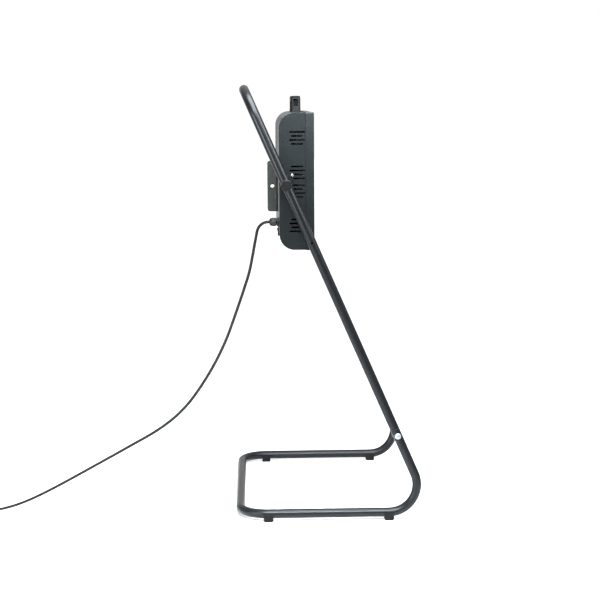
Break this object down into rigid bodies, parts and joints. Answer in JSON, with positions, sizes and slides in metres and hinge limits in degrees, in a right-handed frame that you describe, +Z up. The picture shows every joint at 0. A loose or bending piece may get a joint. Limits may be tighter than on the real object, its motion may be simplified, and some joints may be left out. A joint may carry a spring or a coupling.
{
  "type": "mobile infrared heater",
  "caption": "Free-standing radiant heater: a flat slotted metal head with wire guard and carry handle, tilting on clamp knobs in a bent tube stand, with rear switch, gland and mains cord.",
  "frame": {"origin": "on the floor, under the middle of the stand's outline, measured without the cord, coil, tie and plug", "axes": "+X along the width, with the cord and switch on the -X side; -Y is the way the heater radiates; +Z up"},
  "size_m": [0.6306, 1.131, 1.0069],
  "materials": {
    "tube_paint": "satin powder coat, dark slate",
    "casing_paint": "matt powder coat, anthracite",
    "black_plastic": "moulded, fine grain",
    "rocker_plastic": "moulded, glossy",
    "foot_rubber": "matt moulded rubber",
    "cord_sheath": "smooth flexible sheath",
    "zinc_steel": "bright zinc plated",
    "pin_brass": "nickelled brass",
    "guard_wire": "stainless wire",
    "reflector_sheet": "mirror bright",
    "rod_sheath": "heat darkened",
    "ceramic": "unglazed ceramic"
  },
  "bodies": {
    "stand": {"base_frame": "tube_paint", "upper_frame": "tube_paint", "foot_front_left": "foot_rubber", "foot_front_right": "foot_rubber", "foot_rear_left": "foot_rubber", "foot_rear_right": "foot_rubber", "joint_bolt_left": "zinc_steel", "joint_bolt_right": "zinc_steel", "joint_nut_left": "zinc_steel", "joint_nut_right": "zinc_steel", "inner_saddle_left": "black_plastic", "inner_saddle_right": "black_plastic", "outer_saddle_left": "black_plastic", "outer_saddle_right": "black_plastic", "cord": "cord_sheath", "cord_coil": "cord_sheath", "cord_tie": "black_plastic", "plug_body": "cord_sheath", "plug_pins": "pin_brass"},
    "head": {"rear_shell": "casing_paint", "side_panel_left": "casing_paint", "side_panel_right": "casing_paint", "front_frame": "casing_paint", "pivot_lug_left": "casing_paint", "pivot_lug_right": "casing_paint", "rear_bracket": "casing_paint", "carry_handle": "black_plastic", "gland_body": "black_plastic", "gland_nut": "black_plastic", "gland_locknut": "black_plastic", "tilt_switch": "black_plastic", "switch_housing": "black_plastic", "gland_seal": "foot_rubber", "cord_tail": "cord_sheath", "frame_screw_lower_left": "zinc_steel", "frame_screw_lower_right": "zinc_steel", "frame_screw_upper_left": "zinc_steel", "frame_screw_upper_right": "zinc_steel", "lug_screw_left": "zinc_steel", "lug_screw_right": "zinc_steel", "pivot_bolt_left": "zinc_steel", "pivot_bolt_right": "zinc_steel", "bracket_screw_lower": "zinc_steel", "bracket_screw_upper": "zinc_steel", "handle_screw_left": "zinc_steel", "handle_screw_right": "zinc_steel", "wire_guard": "guard_wire", "rod_support": "guard_wire", "heat_shield": "guard_wire", "reflector": "reflector_sheet", "heating_rod_lower": "rod_sheath", "heating_rod_middle": "rod_sheath", "heating_rod_upper": "rod_sheath", "rod_insulator": "ceramic", "terminal_block": "ceramic", "thermal_cutout": "ceramic"},
    "knob_left": {"knob_left": "black_plastic"},
    "knob_right": {"knob_right": "black_plastic"},
    "rocker": {"switch_rocker": "rocker_plastic"}
  },
  "joints": [
    {"name": "head_tilt", "type": "hinge", "parent": "stand", "child": "head", "pos_m": [0, 0.09323, 0.7817], "axis": [1, 0, 0], "range_deg": [-30, 30], "deforming": ["cord"]},
    {"name": "knob_turn_left", "type": "hinge", "parent": "head", "child": "knob_left", "pos_m": [-0.305, 0.09323, 0.7817], "axis": [-1, 0, 0], "range_deg": [0, 360]},
    {"name": "knob_turn_right", "type": "hinge", "parent": "head", "child": "knob_right", "pos_m": [0.305, 0.09323, 0.7817], "axis": [1, 0, 0], "range_deg": [0, 360]},
    {"name": "switch_rock", "type": "hinge", "parent": "head", "child": "rocker", "pos_m": [-0.18, 0.10893, 0.6685], "axis": [1, 0, 0], "range_deg": [0, 16]}
  ]
}
